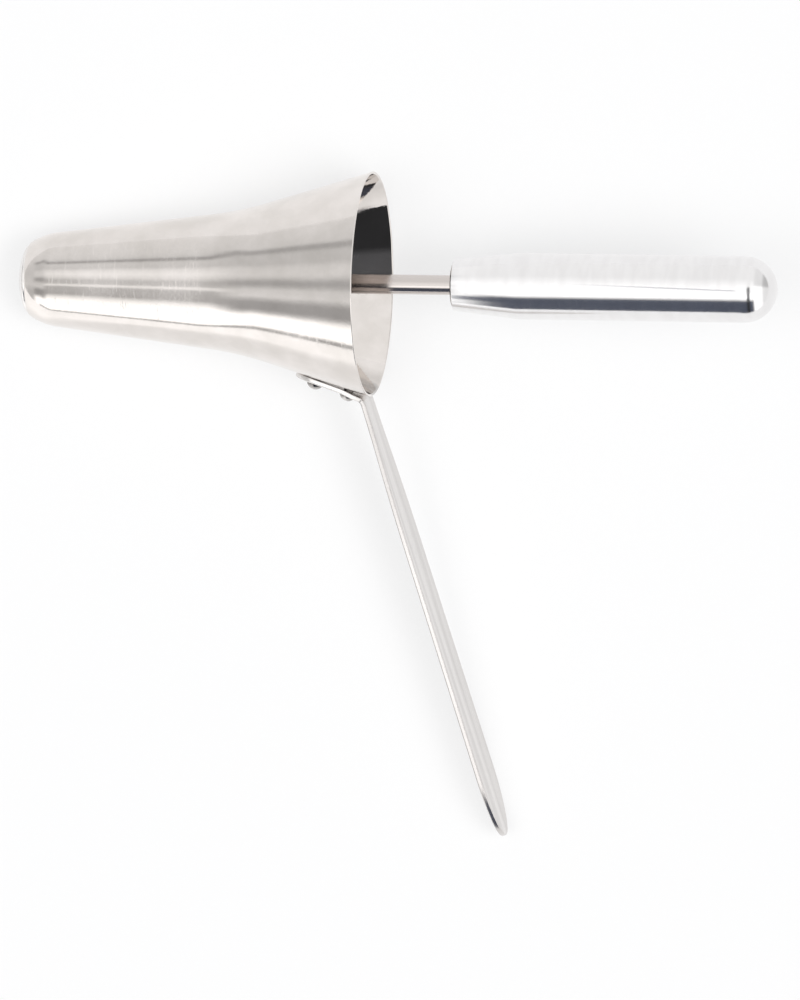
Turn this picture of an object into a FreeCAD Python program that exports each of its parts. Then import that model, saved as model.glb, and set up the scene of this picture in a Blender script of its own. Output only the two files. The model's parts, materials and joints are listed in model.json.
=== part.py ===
import FreeCAD, Part
import math
import os

# A tubular speculum with its obturator, lying on a table as it is put down.
# Millimetres and degrees. Each piece is drawn about the X axis, with the mouth
# of the sleeve at X = 0, its nose towards -X and the handle towards -Y. The
# whole instrument is then tilted and rolled until it rests on Z = 0.

# Sleeve, spun from sheet: flare, waist, barrel and turned-in nose
sleeve_length = 83.7
sleeve_wall = 0.6
sleeve_edge_break = 0.15
mouth_radius = 27.1
flare_length = 25.5
flare_angle = 17.05
waist_radius = 84.0
barrel_angle = 7.35
nose_radius = 15.2
lip_angle = 35.0

# Handle, one strip of sheet: a foot on the flare, a bend and a long blade
strip_thickness = 1.2
foot_width = 9.6
foot_length = 18.05
foot_spring = 2.0
bend_setback = 1.75
bend_radius = 3.0
blade_angle = 73.45
blade_length = 112.0
shoulder_distance = 22.0
shoulder_width = 13.3
middle_distance = 60.0
middle_width = 15.0
blade_width = 16.6
tip_length = 16.0
strip_edge_break = 0.25

# Rivets through the foot and the flare
rivet_end_distance = 5.0
rivet_spacing = 8.4
rivet_shank = 2.4
rivet_head = 4.2
rivet_head_height = 1.9
rivet_tail = 3.4
rivet_tail_height = 0.35
rivet_fit = 0.02

# Obturator: head, rod and grip
head_clearance = 0.1
head_length = 25.0
dome_band = 0.7
dome_height = 1.9
head_back_break = 0.8
neck_radius = 4.5
neck_length = 4.0
rod_diameter = 4.75
rod_break = 0.4
rod_fit = 0.02
head_bore_depth = 12.0
grip_gap = 19.9
grip_bore_depth = 20.0
grip_front_radius = 6.1
grip_front_break = 0.7
grip_taper = 16.2
grip_radius = 8.0
grip_length = 78.7

# How near two places count as one, and the halvings that find the resting roll
tolerance = 0.01
roll_steps = 24
largest_roll = 60.0

AXIS = FreeCAD.Vector(1, 0, 0)
ORIGIN = FreeCAD.Vector(0, 0, 0)


def point(x, radius):
    """A point of a turned outline: `x` along the instrument, `radius` off its axis."""
    return FreeCAD.Vector(x, 0, radius)


def outward(angle):
    """Unit normal of a skin whose radius grows towards the mouth at `angle`."""
    slope = math.radians(angle)
    return point(-math.sin(slope), math.cos(slope))


def along(angle):
    """Unit direction of that skin, towards the mouth."""
    slope = math.radians(angle)
    return point(math.cos(slope), math.sin(slope))


def line(start, end):
    return Part.LineSegment(start, end).toShape()


def arc(start, middle, end):
    return Part.Arc(start, middle, end).toShape()


def turned(edges):
    """Solid of revolution about the instrument's axis."""
    profile = Part.Face(Part.Wire(Part.__sortEdges__(edges)))
    return profile.revolve(ORIGIN, AXIS, 360)


# The sheet's middle line, from the mouth to the lip
half_wall = sleeve_wall / 2
rim_centre = point(0, mouth_radius - half_wall / math.cos(math.radians(flare_angle)))
flare_end = rim_centre - along(flare_angle) * (flare_length / math.cos(math.radians(flare_angle)))
waist_centre = flare_end + outward(flare_angle) * waist_radius
waist_end = waist_centre - outward(barrel_angle) * waist_radius
nose_reach = nose_radius * (math.sin(math.radians(lip_angle)) - math.sin(math.radians(barrel_angle)))
nose_start_x = nose_reach - sleeve_length
barrel_run = (waist_end.x - nose_start_x) / math.cos(math.radians(barrel_angle))
nose_start = waist_end - along(barrel_angle) * barrel_run
nose_centre = nose_start - outward(barrel_angle) * nose_radius


def waist_point(angle, out):
    """Point of the waist's arc where the skin's slope is `angle`, `out` from the middle line."""
    return waist_centre - outward(angle) * (waist_radius - out)


def nose_point(angle, out):
    """Point of the nose's arc where the skin's slope is `angle`, `out` from the middle line."""
    return nose_centre + outward(angle) * (nose_radius + out)


def nose_angle(x, out):
    """Slope of that arc at `x`."""
    return math.degrees(math.asin((nose_centre.x - x) / (nose_radius + out)))


def straight_point(x, start, angle, out):
    """Point at `x`, `out` from the straight middle line through `start` at `angle`."""
    start = start + outward(angle) * out
    return point(x, start.z + (x - start.x) * math.tan(math.radians(angle)))


def mouth_point(x, out):
    return straight_point(x, rim_centre, flare_angle, out)


def barrel_point(x, out):
    return straight_point(x, nose_start, barrel_angle, out)


def lip_point(x, out):
    return nose_point(nose_angle(x, out), out)


def skin(out):
    """Edges of the sleeve's skin from mouth to lip, `out` from the sheet's middle line."""
    mouth = mouth_point(-sleeve_edge_break, out)
    waist_middle = waist_point((flare_angle + barrel_angle) / 2, out)
    last_angle = nose_angle(sleeve_edge_break - sleeve_length, out)
    nose_middle = nose_point((barrel_angle + last_angle) / 2, out)
    return [
        line(mouth, waist_point(flare_angle, out)),
        arc(waist_point(flare_angle, out), waist_middle, waist_point(barrel_angle, out)),
        line(waist_point(barrel_angle, out), nose_point(barrel_angle, out)),
        arc(nose_point(barrel_angle, out), nose_middle, nose_point(last_angle, out)),
    ]


def trimmed_edge(end_x, back_x, skin_point):
    """The sheet's edge, trimmed square to the axis at `end_x`, its corners broken from `back_x`."""
    drop = point(0, sleeve_edge_break)
    outer = skin_point(end_x, half_wall) - drop
    inner = skin_point(end_x, -half_wall) + drop
    return [
        line(skin_point(back_x, half_wall), outer),
        line(outer, inner),
        line(inner, skin_point(back_x, -half_wall)),
    ]


def make_sleeve():
    rim = trimmed_edge(0, -sleeve_edge_break, mouth_point)
    lip = trimmed_edge(-sleeve_length, sleeve_edge_break - sleeve_length, lip_point)
    body = turned(skin(half_wall) + skin(-half_wall) + rim + lip)
    for centre in rivet_places:
        body = body.cut(rivet_hole(centre))
    return body


# The strip's side view: `foot_angle` is its slope on the flare, and its face
# towards the sleeve runs from `foot_end` through `bend_corner` to the tip.
foot_angle = flare_angle + foot_spring
foot_run = along(foot_angle)
foot_out = outward(foot_angle)
blade_run = along(blade_angle)
blade_out = outward(blade_angle)
foot_end_x = -bend_setback - foot_length * foot_run.x
foot_end = mouth_point(foot_end_x, half_wall)
bend_corner = foot_end + foot_run * foot_length
bend_tangent = bend_radius * math.tan(math.radians((blade_angle - foot_angle) / 2))
bend_in = bend_corner - foot_run * bend_tangent
bend_exit = bend_corner + blade_run * bend_tangent
bend_centre = bend_in + foot_out * bend_radius
rivet_places = [
    foot_end + foot_run * rivet_end_distance,
    foot_end + foot_run * (rivet_end_distance + rivet_spacing),
]


def to_handle(shape):
    """Turns what is drawn in the XZ plane to the handle's side, -Y."""
    shape.rotate(ORIGIN, AXIS, 90)
    return shape


def rivet_hole(centre):
    radius = rivet_shank / 2 + rivet_fit
    depth = rivet_head
    start = centre - foot_out * depth
    return to_handle(Part.makeCylinder(radius, 2 * depth, start, foot_out))


def make_foot():
    """The foot and the bend, one width throughout, with a full round at the foot's end."""
    lift = foot_out * strip_thickness
    middle = outward((foot_angle + blade_angle) / 2)
    edges = [
        line(foot_end, bend_in),
        arc(bend_in, bend_centre - middle * bend_radius, bend_exit),
        line(bend_exit, bend_exit + blade_out * strip_thickness),
        arc(
            bend_exit + blade_out * strip_thickness,
            bend_centre - middle * (bend_radius - strip_thickness),
            bend_in + lift,
        ),
        line(bend_in + lift, foot_end + lift),
        line(foot_end + lift, foot_end),
    ]
    side = Part.Face(Part.Wire(edges))
    half = FreeCAD.Vector(0, foot_width / 2, 0)
    side.translate(half * -1)
    foot = side.extrude(half * 2)
    corners = [edge for edge in foot.Edges if is_foot_corner(edge)]
    return foot.makeFillet(foot_width / 2 - tolerance, corners)


def is_foot_corner(edge):
    """True for the two short upright edges at the foot's free end."""
    middle = edge.CenterOfMass
    centre = foot_end + foot_out * (strip_thickness / 2)
    near = abs((middle - centre).dot(foot_run)) < tolerance
    return near and abs(edge.Length - strip_thickness) < tolerance and abs(middle.y) > foot_width / 4


def blade_point(distance, width):
    """Point of the blade's outline, on its face towards the mouth."""
    return bend_corner + blade_run * distance + FreeCAD.Vector(0, width / 2, 0)


def blade_side(hand):
    """One long edge of the blade's outline, from the bend to the rounded end."""
    straight = blade_run * 1.0
    curve = Part.BSplineCurve()
    places = [
        blade_point(bend_tangent, hand * foot_width),
        blade_point(shoulder_distance, hand * shoulder_width),
        blade_point(middle_distance, hand * middle_width),
        blade_point(blade_length - tip_length, hand * blade_width),
    ]
    curve.interpolate(Points=places, InitialTangent=straight, FinalTangent=straight)
    return curve.toShape()


def make_blade():
    """The flat blade: a narrow neck, a long taper and a half-elliptic end."""
    centre = blade_point(blade_length - tip_length, 0)
    tip = blade_point(blade_length, 0)
    side = blade_point(blade_length - tip_length, blade_width)
    ellipse = Part.Ellipse(tip, side, centre)
    end = Part.ArcOfEllipse(ellipse, -math.pi / 2, math.pi / 2).toShape()
    neck = line(blade_point(bend_tangent, -foot_width), blade_point(bend_tangent, foot_width))
    edges = Part.__sortEdges__([neck, blade_side(1), end, blade_side(-1)])
    outline = Part.Face(Part.Wire(edges))
    return outline.extrude(blade_out * strip_thickness)


def make_strip():
    strip = make_foot().fuse(make_blade()).removeSplitter()
    strip = strip.makeChamfer(strip_edge_break, long_edges(strip))
    strip = to_handle(strip)
    for centre in rivet_places:
        strip = strip.cut(rivet_hole(centre))
    return strip


def long_edges(strip):
    """Edges between the strip's two faces and its narrow sides."""
    return [edge for edge in strip.Edges if not is_across(edge)]


def is_across(edge):
    """True for an edge that runs through the thickness or straight across the strip."""
    ends = edge.Vertexes
    if len(ends) < 2:
        return False
    reach = ends[1].Point - ends[0].Point
    through = abs(edge.Length - strip_thickness) < tolerance
    across = abs(abs(reach.y) - edge.Length) < tolerance
    return through or across


def make_rivet(centre, sleeve):
    """A round-head rivet, its tail peened against the inside of the flare."""
    seat = centre + foot_out * strip_thickness
    radius = rivet_head / 2
    sphere = (radius ** 2 + rivet_head_height ** 2) / (2 * rivet_head_height)
    ball = Part.makeSphere(sphere, seat + foot_out * (rivet_head_height - sphere))
    block = Part.makeCylinder(radius, rivet_head_height, seat, foot_out)
    head = ball.common(block)
    inner = flare_inner(centre)
    tail_end = inner - foot_out * rivet_tail_height
    grip = (seat - tail_end).Length
    shank = Part.makeCylinder(rivet_shank / 2, grip, tail_end, foot_out)
    tail = Part.makeCylinder(rivet_tail / 2, rivet_tail_height + half_wall, tail_end, foot_out)
    rivet = to_handle(head.fuse([shank, tail]))
    return rivet.cut(sleeve).removeSplitter()


def flare_inner(centre):
    """Where the rivet's axis through `centre` leaves the flare's inner skin."""
    inner = mouth_point(centre.x, -half_wall)
    depth = (centre - inner).dot(outward(flare_angle)) / foot_out.dot(outward(flare_angle))
    return centre - foot_out * depth


# The obturator's head follows the sleeve's inner skin at `head_clearance`
head_out = -half_wall - head_clearance
land_radius = lip_point(sleeve_edge_break - sleeve_length, -half_wall).z - head_clearance
land_angle = math.degrees(math.acos((land_radius - nose_centre.z) / (nose_radius + head_out)))
band_end = -sleeve_length - dome_band
head_tip = band_end - dome_height
head_back = head_tip + head_length
grip_back = grip_gap + grip_length


def make_head():
    """Domed plug: dome, band, seat in the nose, tapered body, flat back and a neck on the rod."""
    crown_radius = (land_radius ** 2 + dome_height ** 2) / (2 * dome_height)
    half_crown = math.asin(land_radius / crown_radius) / 2
    crown_centre = point(head_tip + crown_radius, 0)
    crown_middle = crown_centre + point(-math.cos(half_crown), math.sin(half_crown)) * crown_radius
    band = point(band_end, land_radius)
    seat_end = nose_point(land_angle, head_out)
    seat_middle = nose_point((barrel_angle + land_angle) / 2, head_out)
    seat_start = nose_point(barrel_angle, head_out)
    body_end = barrel_point(head_back - head_back_break, head_out)
    break_end = point(head_back, body_end.z - head_back_break)
    neck_start = point(head_back, neck_radius)
    neck_end = point(head_back + neck_length, neck_radius)
    bore = rod_diameter / 2 + rod_fit
    bore_end = neck_end.x - head_bore_depth
    edges = [
        arc(point(head_tip, 0), crown_middle, band),
        line(band, seat_end),
        arc(seat_end, seat_middle, seat_start),
        line(seat_start, body_end),
        line(body_end, break_end),
        line(break_end, neck_start),
        line(neck_start, neck_end),
        line(neck_end, point(neck_end.x, bore)),
        line(point(neck_end.x, bore), point(bore_end, bore)),
        line(point(bore_end, bore), point(bore_end, 0)),
        line(point(bore_end, 0), point(head_tip, 0)),
    ]
    return turned(edges), bore_end


def make_rod(start, end):
    radius = rod_diameter / 2
    rod = Part.makeCylinder(radius, end - start, FreeCAD.Vector(start, 0, 0), AXIS)
    rings = [edge for edge in rod.Edges if edge.BoundBox.XLength < tolerance]
    return rod.makeChamfer(rod_break, rings)


def make_grip():
    """Turned bar: a tapered front, a plain barrel and a half-round end, bored for the rod."""
    front = point(grip_gap, grip_front_radius - grip_front_break)
    front_break = point(grip_gap + grip_front_break, grip_front_radius)
    shoulder = grip_gap + grip_taper
    dome_start = grip_back - grip_radius
    bore = rod_diameter / 2 + rod_fit
    bore_end = grip_gap + grip_bore_depth
    slant = grip_radius * math.cos(math.pi / 4)
    edges = [
        line(point(grip_gap, bore), front),
        line(front, front_break),
        line(front_break, point(shoulder, grip_radius)),
        line(point(shoulder, grip_radius), point(dome_start, grip_radius)),
        arc(
            point(dome_start, grip_radius),
            point(dome_start + slant, slant),
            point(grip_back, 0),
        ),
        line(point(grip_back, 0), point(bore_end, 0)),
        line(point(bore_end, 0), point(bore_end, bore)),
        line(point(bore_end, bore), point(grip_gap, bore)),
    ]
    return turned(edges)


# The instrument lies on its rim, its nose and the end of its handle
rim_contact = mouth_point(-sleeve_edge_break, half_wall)


def rest_tilt():
    """Angle of the axis when the rim and the nose both touch the table."""
    reach = rim_contact - nose_centre
    nose_skin = nose_radius + half_wall
    return math.degrees(math.atan2(reach.z, reach.x) - math.asin(nose_skin / reach.Length))


def lying(tilt, roll):
    """Placement that raises the mouth by `tilt` and lowers the handle by `roll`."""
    lifted = FreeCAD.Rotation(FreeCAD.Vector(0, 1, 0), -tilt)
    rolled = FreeCAD.Rotation(AXIS, roll)
    return FreeCAD.Placement(ORIGIN, lifted * rolled)


def lowest(shape, placement):
    copy = shape.copy()
    copy.Placement = placement
    return copy.optimalBoundingBox().ZMin


def rest_roll(tilt, strip):
    """Angle about the axis at which the strip's end comes down to the table."""
    table = -outward(tilt).dot(rim_contact)
    low, high = 0.0, largest_roll
    for step in range(roll_steps):
        middle = (low + high) / 2
        if lowest(strip, lying(tilt, middle)) > table:
            low = middle
        else:
            high = middle
    return (low + high) / 2


def place(shapes, tilt, roll):
    """Lays the pieces down and centres the instrument over the origin, resting on Z = 0."""
    laid = lying(tilt, roll)
    for shape in shapes.values():
        shape.Placement = laid
    box = Part.makeCompound(list(shapes.values())).optimalBoundingBox()
    laid.Base = FreeCAD.Vector(-box.Center.x, -box.Center.y, -box.ZMin)
    for shape in shapes.values():
        shape.Placement = laid
    return laid


sleeve = make_sleeve()
head, head_bore_end = make_head()
shapes = {
    "speculum_sleeve": sleeve,
    "handle_strip": make_strip(),
    "rivet_rear": make_rivet(rivet_places[0], sleeve),
    "rivet_front": make_rivet(rivet_places[1], sleeve),
    "obturator_head": head,
    "obturator_rod": make_rod(head_bore_end, grip_gap + grip_bore_depth),
    "obturator_grip": make_grip(),
}
tilt = rest_tilt()
roll = rest_roll(tilt, shapes["handle_strip"])
laid = place(shapes, tilt, roll)

os.makedirs("parts", exist_ok=True)
for name, shape in shapes.items():
    shape.exportStep("parts/" + name + ".step")
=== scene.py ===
import json
import math

import bmesh
import bpy
from mathutils import Matrix, Vector


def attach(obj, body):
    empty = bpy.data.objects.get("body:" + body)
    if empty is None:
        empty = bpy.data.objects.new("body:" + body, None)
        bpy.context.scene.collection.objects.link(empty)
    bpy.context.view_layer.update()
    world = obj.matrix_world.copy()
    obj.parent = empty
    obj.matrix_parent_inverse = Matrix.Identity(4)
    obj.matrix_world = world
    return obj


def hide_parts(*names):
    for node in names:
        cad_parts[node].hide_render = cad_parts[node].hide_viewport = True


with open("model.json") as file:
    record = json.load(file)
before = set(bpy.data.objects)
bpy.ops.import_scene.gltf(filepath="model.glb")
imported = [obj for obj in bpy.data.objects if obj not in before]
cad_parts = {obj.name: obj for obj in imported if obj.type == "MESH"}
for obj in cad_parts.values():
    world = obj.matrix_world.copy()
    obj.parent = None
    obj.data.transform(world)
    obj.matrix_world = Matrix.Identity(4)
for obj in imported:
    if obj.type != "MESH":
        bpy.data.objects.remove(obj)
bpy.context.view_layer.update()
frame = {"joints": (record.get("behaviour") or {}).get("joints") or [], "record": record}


# How the instrument lies. The obturator slides along the sleeve's axis, and the
# handle hangs to one side of it. Each piece is made about the X axis, with the
# sleeve's mouth at the origin and the handle towards -Y, and is then laid down.
grip_gap = 0.0199
grip_taper = 0.0162
grip_length = 0.0787
grip_radius = 0.008

slide = Vector(frame["joints"][0]["axis"])
grip_mount, handle_mount = frame["record"]["mounts"]
mouth_to_grip_middle = grip_gap + grip_taper + (grip_length - grip_taper - grip_radius) / 2
mouth = Vector(grip_mount["pos_m"]) - slide * mouth_to_grip_middle
reach = Vector(handle_mount["pos_m"]) - mouth
handle_side = (reach - slide * reach.dot(slide)).normalized()
turned_up = slide.cross(-handle_side)
laid = Matrix((slide, -handle_side, turned_up)).transposed().to_4x4()
laid.translation = mouth


# The camera looks down on the table from far off, as the photograph does. It
# leans a little to the left and is rolled a little against the instrument.
frame_pixels = Vector((800, 1000))
mouth_pixel = Vector((372.4, 284.0))
pixel = 0.00024
camera_distance = 5.0
camera_lean = math.radians(0.7)
camera_roll = math.radians(0.95)

right = Vector((math.cos(camera_roll), math.sin(camera_roll), 0))
back = Vector((0, 0, math.cos(camera_lean))) - right * math.sin(camera_lean)
right = right * math.cos(camera_lean) + Vector((0, 0, math.sin(camera_lean)))
up = back.cross(right)
offset = (frame_pixels / 2 - mouth_pixel) * pixel
target = mouth + right * offset.x - up * offset.y

camera_data = bpy.data.cameras.new("camera")
camera_data.lens = camera_data.sensor_width * camera_distance / (frame_pixels.y * pixel)
camera_data.clip_start = 0.1
camera_data.clip_end = 20.0
camera = bpy.data.objects.new("camera", camera_data)
camera.matrix_world = Matrix((right, up, back)).transposed().to_4x4()
camera.location = target + back * camera_distance
bpy.context.scene.collection.objects.link(camera)
bpy.context.scene.camera = camera
bpy.context.scene.view_settings.view_transform = "Standard"


# The table is white card. The camera and the metal see it almost plain white,
# and it keeps the instrument's soft shadow.
class Wire:
    """An output in a node tree. Arithmetic on it adds Math nodes."""

    def __init__(self, tree, socket=None):
        self.tree = tree
        self.socket = socket

    def node(self, kind, settings=None, inputs=None, output=0):
        """Adds a node, with its settings first, and returns the wire from one of its outputs."""
        made = self.tree.nodes.new("ShaderNode" + kind)
        for name, value in (settings or {}).items():
            if name == "stops":
                self.set_stops(made.color_ramp, value)
            else:
                setattr(made, name, value)
        for name, value in (inputs or {}).items():
            if isinstance(value, Wire):
                self.tree.links.new(value.socket, made.inputs[name])
            else:
                made.inputs[name].default_value = value
        return Wire(self.tree, made.outputs[output] if made.outputs else None)

    def set_stops(self, ramp, stops):
        while len(ramp.elements) < len(stops):
            ramp.elements.new(1.0)
        for element, (place, shade) in zip(ramp.elements, stops):
            element.position = place
            element.color = (shade, shade, shade, 1)

    def math(self, operation, *others):
        return self.node("Math", {"operation": operation}, dict(enumerate((self, *others))))

    def __add__(self, other):
        return self.math("ADD", other)

    def __radd__(self, other):
        return self.math("ADD", other)

    def __mul__(self, other):
        return self.math("MULTIPLY", other)

    def __rmul__(self, other):
        return self.math("MULTIPLY", other)

    def __sub__(self, other):
        return self.math("SUBTRACT", other)

    def __rsub__(self, other):
        return self.node("Math", {"operation": "SUBTRACT"}, {0: other, 1: self})

    def rise(self, start, end):
        """0 below `start`, 1 above `end`, and a smooth step between."""
        ends = {"Value": self, "From Min": start, "From Max": end}
        return self.node("MapRange", {"interpolation_type": "SMOOTHSTEP"}, ends)

    def band(self, start, end, soft):
        """1 between `start` and `end`, with soft edges outside them."""
        return self.rise(start - soft, start) * (1 - self.rise(end, end + soft))


table_half = 2.0
table_white = (0.985, 0.985, 0.985, 1)
table_glow = 0.66

table_mesh = bmesh.new()
bmesh.ops.create_grid(table_mesh, x_segments=1, y_segments=1, size=table_half)
table_data = bpy.data.meshes.new("table")
table_mesh.to_mesh(table_data)
table = bpy.data.objects.new("table", table_data)
bpy.context.scene.collection.objects.link(table)

card = bpy.data.materials.new("white_card")
card.use_nodes = True
card.node_tree.nodes.clear()
wire = Wire(card.node_tree)
paper = wire.node("BsdfDiffuse", inputs={"Color": table_white})
spot = wire.node("TexCoord", output="Object")
spot_x, spot_y = (wire.node("SeparateXYZ", inputs={"Vector": spot}, output=axis) for axis in "XY")
to_camera, off_metal, through_glass = (
    wire.node("LightPath", output=f"Is {ray} Ray") for ray in ("Camera", "Glossy", "Transmission")
)

# Metal finds the card lighter beside the handle and past the nose: a painted glow, which only
# reflections see, stands in for light on the card there.
glow_beside_handle = (0 - spot_x).rise(0.04, 0.11) * (0 - spot_y).rise(0.015, 0.09)
glow_past_nose = (0 - spot_x).rise(0.082, 0.10) * (0.045 - spot_y).rise(0.0, 0.03)
painted_glow = off_metal * glow_beside_handle.math("MAXIMUM", glow_past_nose)

glow = wire.node("Emission", inputs={"Color": 1 + 0.45 * painted_glow, "Strength": 1.0})
seen = (to_camera + off_metal + through_glass).math("MINIMUM", 1.0)
finish = wire.node("MixShader", inputs={0: seen * table_glow, 1: paper, 2: glow})
wire.node("OutputMaterial", inputs={"Surface": finish})
table_data.materials.append(card)


# The studio is a pale room with lit panels, which the steel and the aluminium
# mirror in bands. A band is placed by how the metal faces that mirrors it up to
# the camera: `facing` round towards the handle and `slope` towards the nose.
world = bpy.data.worlds.new("studio")
world.use_nodes = True
world.node_tree.nodes.clear()
bpy.context.scene.world = world
wire = Wire(world.node_tree)
towards = wire.node("TexCoord", output="Generated")
east, north, height = (
    wire.node("SeparateXYZ", inputs={"Vector": towards}, output=axis) for axis in "XYZ"
)
facing = (0 - north).math("ARCTAN2", 1 + height) * math.degrees(1)
to_unit_length = (2 + 2 * height).math("MAXIMUM", 0.01).math("POWER", -0.5)
slope = (0 - slide.x * east - slide.z * (1 + height)) * to_unit_length

# The bands draw in a little along the waist. The flare's inside has its own.
facing = facing * (1 - 0.06 * slope.band(0.19, 0.245, 0.035))
from_mouth = slope.band(-0.33, -0.262, 0.015)


def room(levels):
    """The light across the room, by degrees of `facing` from -50 to 50, at levels up to 2."""
    stops = [(0.5 + degrees / 100, level / 2) for degrees, level in levels]
    return wire.node("ValToRGB", {"stops": stops}, {"Fac": facing * 0.01 + 0.5}) * 2


def blend(first, second, share):
    return first + (second - first) * share


def colour_between(wire, share, first, second):
    """The colour `first` where `share` is 0, and `second` where it is 1."""
    first, second = (c if isinstance(c, Wire) else (*c, 1) for c in (first, second))
    return wire.node("Mix", {"data_type": "RGBA"}, {0: share, 6: first, 7: second}, 2)


past_nose = room((
    (-50, 0.98), (-42, 0.88), (-30, 0.77), (-8, 0.70), (8, 0.80), (18, 0.62), (30, 0.62),
    (40, 1.2),
))
behind_mouth = room((
    (-50, 0.98), (-42, 0.87), (-25.5, 0.77), (-23.6, 0.46), (-21.8, 0.46), (-19.8, 0.66),
    (-13, 0.66), (-10, 0.80), (-5, 0.84), (-3, 0.74), (-0.5, 0.50), (1.5, 0.46), (3.5, 0.58),
    (5.5, 0.78), (10.5, 0.84), (13, 0.58), (15, 0.42), (20.8, 0.40), (22.8, 0.60), (25.3, 1.3),
    (27.5, 1.6), (50, 1.6),
))
beside_barrel = room((
    (-50, 1.00), (-42, 0.89), (-27, 0.80), (-23, 0.72), (-21.2, 0.40), (-19.8, 0.40),
    (-18, 0.74), (-13, 0.70), (-10, 0.92), (-6, 1.04), (-2, 0.88), (1, 0.62), (5, 0.64),
    (6.2, 1.05), (7.6, 1.05), (9, 0.58), (18, 0.54), (22.5, 1.25), (26, 1.65), (50, 1.65),
))
beside_taper = room((
    (-50, 1.06), (-18, 1.06), (-6, 1.25), (22.5, 1.25), (25, 0.20), (31.5, 0.20), (34, 1.0),
    (50, 1.0),
))
overhead = room((
    (-50, 0.98), (-18, 0.96), (-4, 1.15), (7, 1.2), (9.5, 1.6), (15.5, 1.6), (19.5, 0.8),
    (22.5, 0.11), (50, 0.11),
))
over_mouth = room((
    (-50, 1.02), (-4.5, 1.0), (-2, 0.05), (4, 0.05), (7, 0.09), (16, 0.09), (20, 0.03),
    (50, 0.03),
))
past_grip = room(((-50, 0.88), (-8, 0.86), (-3, 1.4), (50, 1.4)))
brightness = blend(beside_barrel, behind_mouth, slope.rise(0.15, 0.26))
brightness = blend(brightness, past_nose, slope.rise(0.33, 0.42))
over_level = blend(overhead, beside_taper, slope.rise(0.05, 0.09))
brightness = blend(over_level, brightness, slope.rise(0.1125, 0.1165))
brightness = blend(brightness, over_mouth, from_mouth)
brightness = blend(brightness, past_grip, 1 - slope.rise(-0.48, -0.42))

# The room is darker low down on the handle's side, and beyond the grip's end.
skyline = (1 - height.rise(0.03, 0.05 + 0.03 * slope.rise(0.16, 0.26))) * facing.rise(20, 25)
skyline = skyline * slope.band(0.118, 0.30, 0.008)
brightness = brightness * (1 - 0.75 * skyline) * (1 - 0.35 * (1 - slope.rise(-0.72, -0.64)))

# The rest of the light comes softly from above, most of it from two sides.
mirrored = wire.node("LightPath", output="Is Glossy Ray")
watched = wire.node("LightPath", output="Is Camera Ray")
soft_light = 0.30
for window, level in (((0.38, -0.12, 1), 8.8), ((-0.32, -0.12, 1), 6.8)):
    along_window = {0: towards, 1: Vector(window).normalized()}
    aim = wire.node("VectorMath", {"operation": "DOT_PRODUCT"}, along_window, "Value")
    soft_light = level * aim.math("MAXIMUM", 0.0).math("POWER", 40.0) + soft_light
strength = blend(blend(soft_light, brightness, mirrored), 1.0, watched)

# What is dim in the room is a little blue.
no_blue = strength.rise(0.0, 0.4).math("MAXIMUM", 0.8 * from_mouth)
tone = colour_between(wire, no_blue, (0.68, 0.80, 1.16), (1, 1, 1))
sky = wire.node("Background", inputs={"Color": tone, "Strength": strength})
wire.node("OutputWorld", inputs={"Surface": sky})


# The sleeve is the speculum itself: one sheet of stainless steel, spun over a
# former to a trumpet mouth, a waist, a tapered barrel and a turned-in nose,
# trimmed at both ends and polished by hand to a soft satin.
class Outline:
    """The outline of a turned piece, drawn by runs and arcs and spun about its axis."""

    def __init__(self, x, radius):
        self.mesh = bmesh.new()
        self.start = self.mesh.verts.new((x, 0, radius))
        self.end = self.start

    def run(self, x, radius):
        """A straight run to `x` and `radius`."""
        made = bmesh.ops.extrude_vert_indiv(self.mesh, verts=[self.end])
        self.end = made["verts"][0]
        self.end.co = (x, 0, radius)

    def arc(self, centre, angle, steps):
        """An arc about `centre`, through `angle` from the X axis towards the radius."""
        made = bmesh.ops.spin(
            self.mesh, geom=[self.end], cent=(centre[0], 0, centre[1]),
            axis=(0, -1, 0), angle=angle, steps=steps,
        )
        self.end = next(v for v in made["geom_last"] if isinstance(v, bmesh.types.BMVert))

    def close(self):
        self.mesh.edges.new((self.end, self.start))

    def turned(self, steps, soften):
        """Spins the outline into a closed skin and softens its sharp rings."""
        bmesh.ops.spin(
            self.mesh, geom=self.mesh.verts[:] + self.mesh.edges[:], cent=(0, 0, 0),
            axis=(1, 0, 0), angle=2 * math.pi, steps=steps, use_merge=True,
        )
        bmesh.ops.remove_doubles(self.mesh, verts=self.mesh.verts, dist=1e-6)
        bmesh.ops.recalc_face_normals(self.mesh, faces=self.mesh.faces)
        sharp_angle = math.radians(25)
        sharp = [e for e in self.mesh.edges if e.is_manifold and e.calc_face_angle() > sharp_angle]
        round_off(self.mesh, sharp, soften)
        return self.mesh


def round_off(mesh, geom, width, affect="EDGES", segments=4):
    """Rounds off the edges, or the corners, in `geom`."""
    bmesh.ops.bevel(
        mesh, geom=geom, offset=width, offset_type="OFFSET", affect=affect,
        segments=segments, profile=0.5, material=-1, clamp_overlap=True,
    )


def finished(name, mesh, material, body, node, place=Matrix()):
    """Lays a piece down, and gives it its finish, its body and the node it stands for."""
    bmesh.ops.transform(mesh, matrix=laid @ place, verts=mesh.verts)
    for face in mesh.faces:
        face.smooth = True
    data = bpy.data.meshes.new(name)
    mesh.to_mesh(data)
    mesh.free()
    piece = bpy.data.objects.new(name, data)
    bpy.context.scene.collection.objects.link(piece)
    data.materials.append(material)
    weighted = piece.modifiers.new("weighted", "WEIGHTED_NORMAL")
    weighted.keep_sharp = False
    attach(piece, body)
    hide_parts(node)


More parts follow.
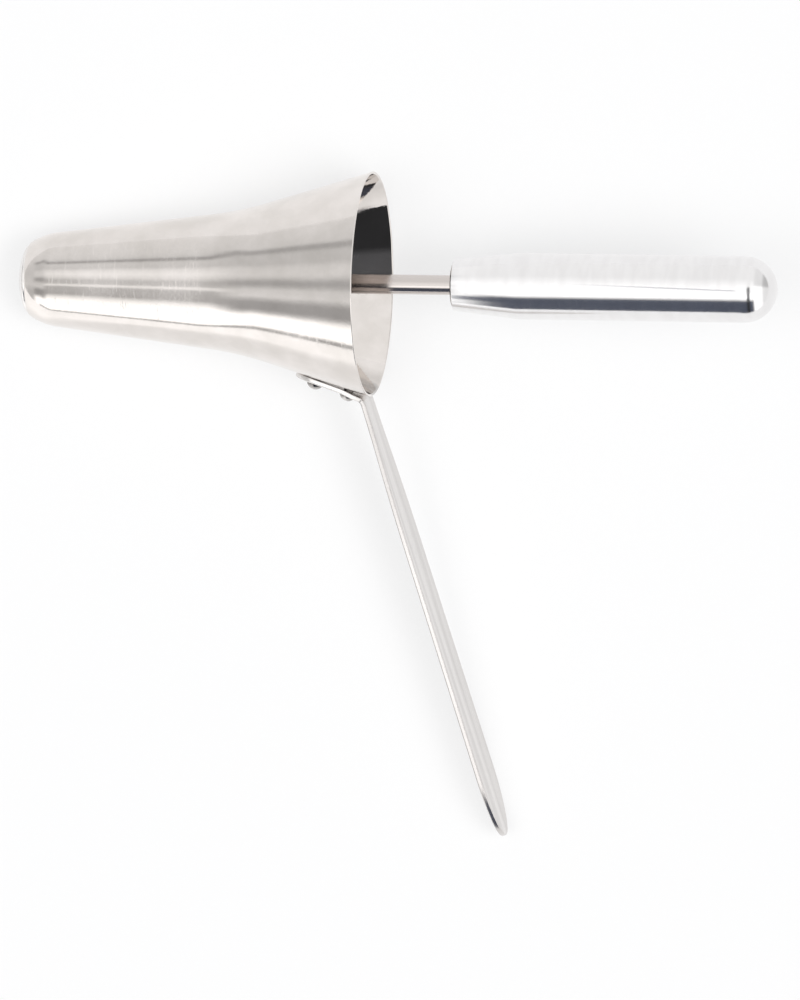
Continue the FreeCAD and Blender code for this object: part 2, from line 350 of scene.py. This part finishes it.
def metal(name):
    """A new material, its first wire, and the place on the piece before it was laid down."""
    made = bpy.data.materials.new(name)
    made.use_nodes = True
    made.node_tree.nodes.clear()
    first = Wire(made.node_tree)
    place = first.node("TexCoord", output="Object")
    turn = {"Vector": place, "Location": mouth, "Rotation": laid.to_euler()}
    return made, first, first.node("Mapping", {"vector_type": "TEXTURE"}, turn)


def stretched(wire, place, scale):
    """The same place, stretched by its own factor along each axis."""
    return wire.node("VectorMath", {"operation": "MULTIPLY"}, {0: place, 1: scale})


def grain(wire, place, scale, detail=2.0, roughness=0.5):
    """Noise from 0 to 1 at `scale` to the metre."""
    look = {"Vector": stretched(wire, place, scale), "Scale": 1.0, "Detail": detail}
    return wire.node("TexNoise", inputs={**look, "Roughness": roughness})


def relief(wire, height, strength, depth, under=None):
    """A surface raised by `height`, on top of the relief `under` it."""
    look = {"Strength": strength, "Distance": depth, "Height": height}
    return wire.node("Bump", inputs={**look, "Normal": under} if under else look)


def give_finish(wire, tint, wear, surface):
    """Bare metal of this colour, roughness and relief."""
    look = {"Base Color": tint, "Metallic": 1.0, "Roughness": wear, "Normal": surface}
    wire.node("OutputMaterial", inputs={"Surface": wire.node("BsdfPrincipled", inputs=look)})


sleeve_length = 0.0837
sleeve_wall = 0.0006
mouth_radius = 0.0271
flare_length = 0.0255
flare_angle = math.radians(17.05)
waist_radius = 0.084
barrel_angle = math.radians(7.35)
nose_radius = 0.0152
lip_angle = math.radians(35.0)
sleeve_turns = 288


def outward(angle):
    return Vector((-math.sin(angle), math.cos(angle)))


def along(angle):
    return Vector((math.cos(angle), math.sin(angle)))


half_wall = sleeve_wall / 2
rim = Vector((0, mouth_radius - half_wall / math.cos(flare_angle)))
flare_end = rim - along(flare_angle) * (flare_length / math.cos(flare_angle))
waist_centre = flare_end + outward(flare_angle) * waist_radius
waist_end = waist_centre - outward(barrel_angle) * waist_radius
nose_reach = nose_radius * (math.sin(lip_angle) - math.sin(barrel_angle))
barrel_run = (waist_end.x - nose_reach + sleeve_length) / math.cos(barrel_angle)
nose_start = waist_end - along(barrel_angle) * barrel_run
nose_centre = nose_start - outward(barrel_angle) * nose_radius


def nose_slope(x, out):
    """Slope of the nose's skin at `x`, `out` from the sheet's middle."""
    return math.asin((nose_centre.x - x) / (nose_radius + out))


def sleeve_outline():
    waist_turn = flare_angle - barrel_angle
    outer_turn = nose_slope(-sleeve_length, half_wall) - barrel_angle
    inner_turn = nose_slope(-sleeve_length, -half_wall) - barrel_angle
    half_rim = half_wall / math.cos(flare_angle)
    outline = Outline(0, rim.y + half_rim)
    outline.run(*(flare_end + outward(flare_angle) * half_wall))
    outline.arc(waist_centre, -waist_turn, 12)
    outline.run(*(nose_start + outward(barrel_angle) * half_wall))
    outline.arc(nose_centre, outer_turn, 16)
    lip = nose_centre + outward(barrel_angle + inner_turn) * (nose_radius - half_wall)
    outline.run(*lip)
    outline.arc(nose_centre, -inner_turn, 16)
    outline.run(*(waist_end - outward(barrel_angle) * half_wall))
    outline.arc(waist_centre, waist_turn, 12)
    outline.run(0, rim.y - half_rim)
    outline.close()
    return outline


satin, wire, place = metal("satin_stainless")
rings = grain(wire, place, (2600, 40, 40), 3.0, 0.6)
clouds = grain(wire, place, (60, 60, 60), 3.0, 0.55)
along_sleeve = wire.node("SeparateXYZ", inputs={"Vector": place}, output="X")
drift = grain(wire, place, (55, 45, 45), 1.5) * (0.35 + 0.65 * along_sleeve.rise(-0.045, -0.02))
strokes = grain(wire, place, (2400, 260, 260), 2.0).rise(0.58, 0.80)
pits = grain(wire, place, (1300, 1300, 1300), 2.0, 0.6)
smears = grain(wire, place, (130, 130, 130), 4.0, 0.6)
wear = 0.062 + 0.05 * smears + 0.02 * rings + 0.06 * strokes
cloudy = (clouds + smears).rise(0.6, 1.4)
tint = colour_between(wire, cloudy, (0.71, 0.67, 0.635), (0.83, 0.785, 0.755))

# The skin inside the flare is smoother, and painted dark where the foot is riveted: painted shade
# on the inner skin there, mottled by pits.
painted_shade_centre = (-0.0045, -0.026, 0.0)
off_axis = stretched(wire, place, (0, 1, 1))
from_axis = wire.node("VectorMath", {"operation": "LENGTH"}, {0: off_axis}, "Value")
inner_skin = (along_sleeve * math.tan(flare_angle) + rim.y - from_axis).rise(-0.0001, 0.0001)
ends = {0: place, 1: painted_shade_centre}
by_foot = wire.node("VectorMath", {"operation": "DISTANCE"}, ends, "Value")
painted_shade_by_foot = inner_skin * (1 - (by_foot + 0.002 * smears).rise(0.0065, 0.0085)) * (0.5 + 0.5 * pits)
tint = colour_between(wire, painted_shade_by_foot, tint, (0.42, 0.41, 0.40))
wear = wear * (1 - 0.5 * inner_skin)
dents = relief(wire, drift, 1.0, 0.00012)
marks = rings + 2 * pits + 0.9 * strokes * (1 - inner_skin)
give_finish(wire, tint, wear, relief(wire, marks, 0.15, 0.00002, dents))

sleeve_mesh = sleeve_outline().turned(sleeve_turns, soften=0.00028)
finished("speculum_shell", sleeve_mesh, satin, "speculum", "speculum_sleeve")


# The handle is a strip of the same steel, cut out with a round foot and a long
# blade that widens to a half-oval end. Its edges are rounded off, it is bent
# once, and its foot is riveted to the flare, which draws it hollow.
strip_thickness = 0.0012
foot_width = 0.0096
foot_length = 0.01805
foot_angle = flare_angle + math.radians(2.0)
bend_setback = 0.00175
bend_radius = 0.003
bend_steps = 10
blade_angle = math.radians(73.45)
blade_length = 0.112
straight_length = 0.004
shoulder_distance = 0.0265
shoulder_width = 0.0148
shoulder_softness = 0.010
blade_width = 0.0166
tip_length = 0.016
strip_softness = 0.0003
hollow_radius = 0.026
hollow_end = 0.3
foot_rows = 9
foot_columns = 11

bend_turn = blade_angle - foot_angle
bend_tangent = bend_radius * math.tan(bend_turn / 2)
bend_start = foot_length - bend_tangent
bend_end = bend_start + bend_radius * bend_turn
blade_zero = bend_end - bend_tangent
foot_x = -bend_setback - foot_length * math.cos(foot_angle)
foot_radius = rim.y + half_wall / math.cos(flare_angle) + foot_x * math.tan(flare_angle)
foot_place = Matrix.Translation((foot_x, 0, foot_radius)) @ Matrix.Rotation(-foot_angle, 4, "Y")
handle_turn = Matrix.Rotation(math.pi / 2, 4, "X")


def strip_outline():
    """Half the strip's outline, laid out flat: X along it and Z to its side."""
    outline = Outline(0, 0)
    outline.arc((foot_width / 2, 0), -math.pi / 2, 14)
    outline.run(blade_zero + straight_length, foot_width / 2)
    outline.run(blade_zero + shoulder_distance, shoulder_width / 2)
    outline.run(blade_zero + blade_length - tip_length, blade_width / 2)
    widest = outline.end
    outline.arc((widest.co.x, 0), -math.pi / 2, 24)
    tip = [v for v in outline.mesh.verts if v.co.x > widest.co.x + 1e-7]
    stretch = (tip_length / (blade_width / 2), 1, 1)
    centre = Matrix.Translation((-widest.co.x, 0, 0))
    bmesh.ops.scale(outline.mesh, vec=stretch, space=centre, verts=tip)
    return outline.mesh


def flat_strip():
    mesh = strip_outline()
    halves = bmesh.ops.duplicate(mesh, geom=mesh.verts[:] + mesh.edges[:])
    copied = [v for v in halves["geom"] if isinstance(v, bmesh.types.BMVert)]
    bmesh.ops.scale(mesh, vec=(1, 1, -1), verts=copied)
    bmesh.ops.remove_doubles(mesh, verts=mesh.verts, dist=1e-7)
    face = bmesh.ops.contextual_create(mesh, geom=mesh.edges[:])["faces"][0]
    corners = [v for v in face.verts if blade_zero < v.co.x < blade_zero + blade_length / 2]
    round_off(mesh, corners, shoulder_softness, "VERTICES", 10)
    bmesh.ops.rotate(mesh, matrix=Matrix.Rotation(math.pi / 2, 3, "X"), verts=mesh.verts)
    base = mesh.faces[:]
    raised = bmesh.ops.extrude_face_region(mesh, geom=base)["geom"]
    top = [v for v in raised if isinstance(v, bmesh.types.BMVert)]
    bmesh.ops.translate(mesh, vec=(0, 0, strip_thickness), verts=top)
    bmesh.ops.recalc_face_normals(mesh, faces=mesh.faces)
    border = [e for e in mesh.edges if abs(e.verts[0].co.z - e.verts[1].co.z) < 1e-6]
    round_off(mesh, border, strip_softness)
    return mesh


def cut(mesh, place, direction, limit=1.0):
    """Cuts the faces that end before `limit`, through `place` and across `direction`."""
    faces = [f for f in mesh.faces if all(v.co.x < limit for v in f.verts)]
    edges = {e for f in faces for e in f.edges}
    verts = {v for f in faces for v in f.verts}
    geom = list(verts) + list(edges) + faces
    bmesh.ops.bisect_plane(mesh, geom=geom, dist=1e-7, plane_co=place, plane_no=direction)


def hollow_foot(mesh):
    """Hollows the foot across its width, as its rivets drew it onto the round flare."""
    limit = bend_start + 1e-5
    for row in range(1, foot_rows):
        cut(mesh, (bend_start * row / foot_rows, 0, 0), (1, 0, 0), limit)
    for column in range(1 - foot_columns // 2, foot_columns // 2):
        cut(mesh, (0, foot_width * column / foot_columns, 0), (0, 1, 0), limit)
    for vert in mesh.verts:
        fade = min(max((bend_start - vert.co.x) / (hollow_end * bend_start), 0.0), 1.0)
        vert.co.z -= fade * fade * (3 - 2 * fade) * vert.co.y ** 2 / (2 * hollow_radius)


def bent_strip():
    mesh = flat_strip()
    bend_length = bend_end - bend_start
    stations = [bend_start + bend_length * k / bend_steps for k in range(bend_steps + 1)]
    for station in stations:
        cut(mesh, (station, 0, 0), (1, 0, 0))
    hollow_foot(mesh)
    centre = Vector((bend_start, 0, bend_radius))
    groups = [[v for v in mesh.verts if abs(v.co.x - place) < 1e-5] for place in stations[1:-1]]
    groups.append([v for v in mesh.verts if v.co.x > stations[-1] - 1e-5])
    for number, (station, group) in enumerate(zip(stations[1:], groups), 1):
        turn = Matrix.Rotation(-bend_turn * number / bend_steps, 4, "Y")
        back_to_start = Matrix.Translation((bend_start - station, 0, 0))
        bend = Matrix.Translation(centre) @ turn @ Matrix.Translation(-centre) @ back_to_start
        bmesh.ops.transform(mesh, matrix=bend, verts=group)
    return mesh


brushed, wire, place = metal("brushed_stainless")
turn = {"Vector": place, "Rotation": (0, 0, blade_angle)}
along_blade = wire.node("Mapping", {"vector_type": "POINT"}, turn)
streaks = grain(wire, along_blade, (9, 110, 340), 2.0)
brushing = grain(wire, along_blade, (60, 2500, 2500), 2.0)
clouds = grain(wire, place, (90, 90, 90), 3.0)
wear = 0.15 + 0.08 * clouds + 0.06 * brushing
tint = colour_between(wire, streaks.rise(0.25, 0.75), (0.60, 0.575, 0.56), (0.76, 0.735, 0.72))
give_finish(wire, tint, wear, relief(wire, clouds, 0.4, 0.0001))

finished(
    "handle_blade", bent_strip(), brushed,
    "speculum", "handle_strip", handle_turn @ foot_place,
)


# Two rivets hold the foot. Each has a round head outside and a low tail inside
# the flare, and both are steel, set cold.
rivet_places = (0.005, 0.0134)
rivet_head = 0.0021
rivet_height = 0.0019
rivet_shank = 0.0012
rivet_tail = 0.0017
tail_height = 0.00035


def rivet_outline(depth):
    """The rivet from the top of its head, at positive X, to its tail `depth` below its seat."""
    ball = (rivet_head ** 2 + rivet_height ** 2) / (2 * rivet_height)
    centre = rivet_height - ball
    outline = Outline(rivet_height, 0)
    outline.arc((centre, 0), math.atan2(rivet_head, -centre), 14)
    outline.run(0, rivet_shank)
    outline.run(-depth, rivet_shank)
    outline.run(-depth, rivet_tail)
    outline.run(-depth - tail_height, rivet_tail)
    outline.run(-depth - tail_height, 0)
    return outline


riveted, wire, place = metal("rivet_steel")
knocks = grain(wire, place, (520, 520, 520), 2.0)
wear = 0.12 + 0.14 * knocks
foot_normal = Vector((-math.sin(foot_angle), -math.cos(foot_angle), 0))
foot_face = foot_normal.x * foot_x - foot_normal.y * foot_radius + strip_thickness
from_foot = {0: place, 1: foot_normal}
raised = wire.node("VectorMath", {"operation": "DOT_PRODUCT"}, from_foot, "Value") - foot_face

# Only the ends away from the foot are bright. The skirt of the head, next to the foot, is painted
# dark: painted shade in its crease. Knocks vary the bright ends.
unshaded_ends = raised.rise(0.0002, 0.0014) + (0 - raised).rise(0.0019, 0.0021)
knocks_and_painted_shade = (0.35 + 0.65 * knocks.rise(0.3, 0.7)) * unshaded_ends
tint = colour_between(wire, knocks_and_painted_shade, (0.20, 0.185, 0.175), (0.80, 0.775, 0.76))
give_finish(wire, tint, wear, relief(wire, knocks, 0.6, 0.0002))

through = (strip_thickness + sleeve_wall) * 1.02
for name, distance in zip(("rear", "front"), rivet_places):
    seat = foot_place @ Vector((distance, 0, strip_thickness))
    gap = distance * math.tan(foot_angle - flare_angle)
    upright = Matrix.Translation(seat) @ Matrix.Rotation(-foot_angle - math.pi / 2, 4, "Y")
    rivet_mesh = rivet_outline(through + gap).turned(64, soften=0.0001)
    finished(
        "rivet_head_" + name, rivet_mesh, riveted,
        "speculum", "rivet_" + name, handle_turn @ upright,
    )


# The obturator's head is a steel plug, turned to fill the sleeve's nose, with a
# low dome that stands out of it. It is fixed on the end of the rod.
head_clearance = 0.0001
head_length = 0.025
dome_band = 0.0007
dome_height = 0.0019
neck_radius = 0.0045
neck_length = 0.004

head_out = -half_wall - head_clearance
lip_slope = nose_slope(0.00015 - sleeve_length, -half_wall)
land_radius = nose_centre.y + (nose_radius - half_wall) * math.cos(lip_slope) - head_clearance
seat_radius = nose_radius + head_out
seat_slope = math.acos((land_radius - nose_centre.y) / seat_radius)
head_tip = -sleeve_length - dome_band - dome_height
head_back = head_tip + head_length


def head_outline():
    crown_radius = (land_radius ** 2 + dome_height ** 2) / (2 * dome_height)
    crown_turn = math.asin(land_radius / crown_radius)
    body_start = nose_start + outward(barrel_angle) * head_out
    body_end = body_start.y + (head_back - body_start.x) * math.tan(barrel_angle)
    outline = Outline(head_tip, 0)
    outline.arc((head_tip + crown_radius, 0), -crown_turn, 16)
    outline.run(*(nose_centre + outward(seat_slope) * seat_radius))
    outline.arc(nose_centre, barrel_angle - seat_slope, 10)
    outline.run(head_back, body_end)
    outline.run(head_back, neck_radius)
    outline.run(head_back + neck_length, neck_radius)
    outline.run(head_back + neck_length, 0)
    return outline


faced, wire, place = metal("faced_steel")
off_axis = stretched(wire, place, (0, 1, 1))
circles = {"wave_type": "RINGS", "rings_direction": "SPHERICAL"}
fine = {"Vector": off_axis, "Scale": 900.0, "Distortion": 1.5, "Detail": 1.0}
turning = wire.node("TexWave", circles, fine, "Fac")
blotches = grain(wire, place, (260, 260, 260), 3.0)
wear = 0.12 + 0.08 * blotches + 0.03 * turning
tint = colour_between(wire, blotches.rise(0.3, 0.7), (0.80, 0.775, 0.755), (0.86, 0.84, 0.825))
give_finish(wire, tint, wear, relief(wire, turning, 0.1, 0.00002))

head_mesh = head_outline().turned(160, soften=0.0003)
finished("obturator_plug", head_mesh, faced, "obturator", "obturator_head")


# The rod is plain bright drawn steel, broken at its ends, which go into the
# head and the grip.
rod_radius = 0.002375
rod_break = 0.0004
head_bore_depth = 0.012
grip_bore_depth = 0.020

rod_start = head_back + neck_length - head_bore_depth
rod_end = grip_gap + grip_bore_depth
rod = Outline(rod_start, 0)
rod.run(rod_start, rod_radius - rod_break)
rod.run(rod_start + rod_break, rod_radius)
rod.run(rod_end - rod_break, rod_radius)
rod.run(rod_end, rod_radius - rod_break)
rod.run(rod_end, 0)

drawn, wire, place = metal("drawn_steel")
lines = grain(wire, place, (60, 3000, 3000), 2.0)
tarnish = grain(wire, place, (180, 180, 180), 3.0)
along_rod = wire.node("SeparateXYZ", inputs={"Vector": place}, output="X")
# Painted shade: the rod is coloured darker where it runs inside the sleeve. Tarnish varies its
# tone at random.
unshaded_out_of_sleeve = along_rod.rise(-0.006, 0.001)
wear = 0.07 + 0.06 * lines + 0.05 * tarnish
shade = (0.35 + 0.65 * unshaded_out_of_sleeve) * (0.92 + 0.16 * tarnish)
tint = colour_between(wire, shade, (0.13, 0.105, 0.09), (0.64, 0.595, 0.57))
give_finish(wire, tint, wear, relief(wire, lines, 0.15, 0.00001))

rod_mesh = rod.turned(96, soften=0.0001)
finished("obturator_stem", rod_mesh, drawn, "obturator", "obturator_rod")


# The grip is aluminium bar, turned with a tapered front and a half-round end,
# and left as it came off the lathe, with its fine tool lines.
grip_front = 0.0061
grip_bore = 0.002395


def grip_outline():
    dome_start = grip_gap + grip_length - grip_radius
    outline = Outline(grip_gap, grip_bore)
    outline.run(grip_gap, grip_front)
    outline.run(grip_gap + grip_taper, grip_radius)
    outline.run(dome_start, grip_radius)
    outline.arc((dome_start, 0), -math.pi / 2, 24)
    outline.end.co.z = 0
    outline.run(grip_gap + grip_bore_depth, 0)
    outline.run(grip_gap + grip_bore_depth, grip_bore)
    outline.close()
    return outline


turned, wire, place = metal("turned_aluminium")
tool_lines = grain(wire, place, (7000, 30, 30), 2.0)
passes = grain(wire, place, (700, 10, 10), 2.0)
mottle = grain(wire, place, (520, 130, 130), 2.0)
wear = 0.115 + 0.03 * tool_lines + 0.03 * passes
tint = colour_between(wire, mottle.rise(0.3, 0.7), (0.84, 0.828, 0.828), (0.875, 0.865, 0.865))

# One dark line is painted along the grip, a little askew, and fades towards the rod: a painted
# reflection, not a score in the metal.
along_grip, across_grip, out_of_grip = (
    wire.node("SeparateXYZ", inputs={"Vector": place}, output=axis) for axis in "XYZ"
)
line_place = across_grip + 0.026 * along_grip + 0.0002 * mottle
painted_reflection_line = line_place.band(0.00345, 0.0036, 0.00012) * out_of_grip.rise(0.0, 0.001)
painted_reflection_line = painted_reflection_line * along_grip.rise(0.045, 0.075) * (1 - along_grip.rise(0.0885, 0.0905))
tint = colour_between(wire, 0.8 * painted_reflection_line, tint, (0.45, 0.45, 0.48))
give_finish(wire, tint, wear, relief(wire, tool_lines, 0.015, 0.00002))

grip_mesh = grip_outline().turned(160, soften=0.0004)
finished("obturator_handle", grip_mesh, turned, "obturator", "obturator_grip")
